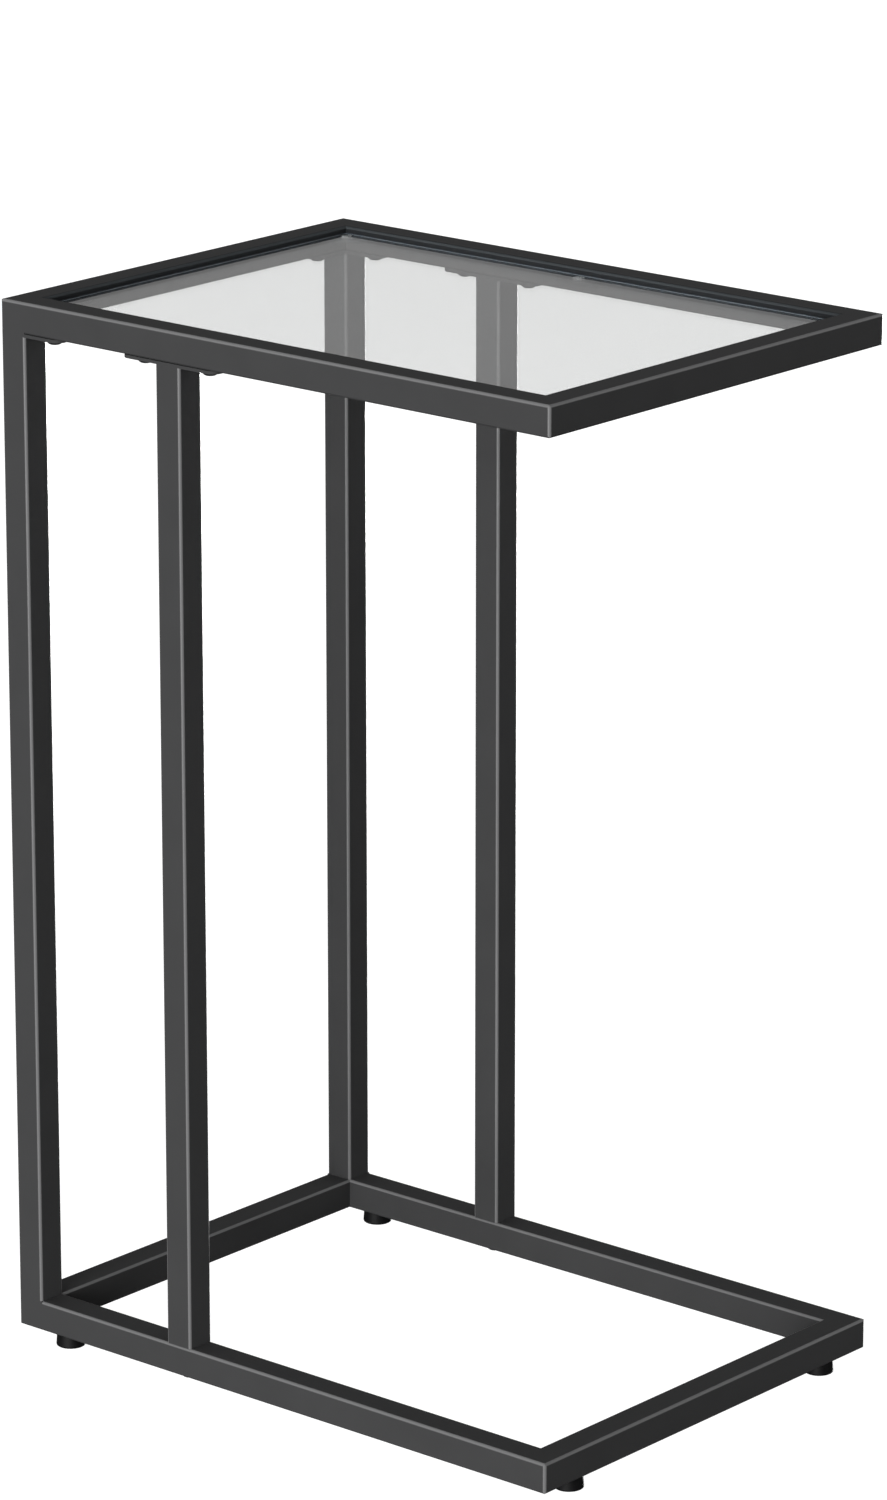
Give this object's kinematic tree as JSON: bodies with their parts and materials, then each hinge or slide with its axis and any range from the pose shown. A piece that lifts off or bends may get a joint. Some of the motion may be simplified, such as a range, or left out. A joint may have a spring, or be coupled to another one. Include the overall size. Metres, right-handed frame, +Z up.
{
  "type": "c shaped side table",
  "caption": "C shaped side table: black square-tube frame, inset clear glass top over an open mouth that slides round a sofa seat, and a base on screw-in levelling feet.",
  "frame": {"origin": "on the floor, under the middle of the table's outline", "axes": "+X from the closed rear end to the open front end, +Z up, +Y to the right-hand side"},
  "size_m": [0.44, 0.32, 0.684],
  "materials": {
    "powder_coat": "satin black powder coat",
    "clear_glass": "polished clear toughened glass",
    "black_bolt": "black oxide",
    "zinc_steel": "zinc plated",
    "foot_plastic": "moulded black",
    "clear_pad": "clear soft pad"
  },
  "bodies": {
    "frame": {"top_rail_left": "powder_coat", "top_rail_right": "powder_coat", "top_rail_rear": "powder_coat", "top_rail_front": "powder_coat", "top_rail_rivet_nuts": "zinc_steel", "glass_top": "clear_glass", "glass_gusset_left_rear": "powder_coat", "glass_gusset_left_front": "powder_coat", "glass_tab_left": "powder_coat", "glass_gusset_right_rear": "powder_coat", "glass_gusset_right_front": "powder_coat", "glass_tab_right": "powder_coat", "glass_pads": "clear_pad", "rear_leg_left": "powder_coat", "rear_leg_plate_left": "powder_coat", "mid_leg_left": "powder_coat", "mid_leg_plate_left": "powder_coat", "mid_leg_plug_left": "zinc_steel", "rear_leg_right": "powder_coat", "rear_leg_plate_right": "powder_coat", "mid_leg_right": "powder_coat", "mid_leg_plate_right": "powder_coat", "mid_leg_plug_right": "zinc_steel", "leg_plate_bolts": "black_bolt", "base_rail_left": "powder_coat", "base_rail_right": "powder_coat", "base_rail_rear": "powder_coat", "base_rail_front": "powder_coat", "base_bolts": "black_bolt", "foot_rivet_nuts": "zinc_steel"},
    "rear_left_foot": {"foot_rear_left": "foot_plastic", "foot_stud_rear_left": "zinc_steel"},
    "rear_right_foot": {"foot_rear_right": "foot_plastic", "foot_stud_rear_right": "zinc_steel"},
    "front_left_foot": {"foot_front_left": "foot_plastic", "foot_stud_front_left": "zinc_steel"},
    "front_right_foot": {"foot_front_right": "foot_plastic", "foot_stud_front_right": "zinc_steel"}
  },
  "joints": [
    {"name": "rear_left_foot_screw", "type": "slide", "parent": "frame", "child": "rear_left_foot", "axis": [0, 0, -1], "range_m": [0, 0.006]},
    {"name": "rear_right_foot_screw", "type": "slide", "parent": "frame", "child": "rear_right_foot", "axis": [0, 0, -1], "range_m": [0, 0.006]},
    {"name": "front_left_foot_screw", "type": "slide", "parent": "frame", "child": "front_left_foot", "axis": [0, 0, -1], "range_m": [0, 0.006]},
    {"name": "front_right_foot_screw", "type": "slide", "parent": "frame", "child": "front_right_foot", "axis": [0, 0, -1], "range_m": [0, 0.006]}
  ]
}
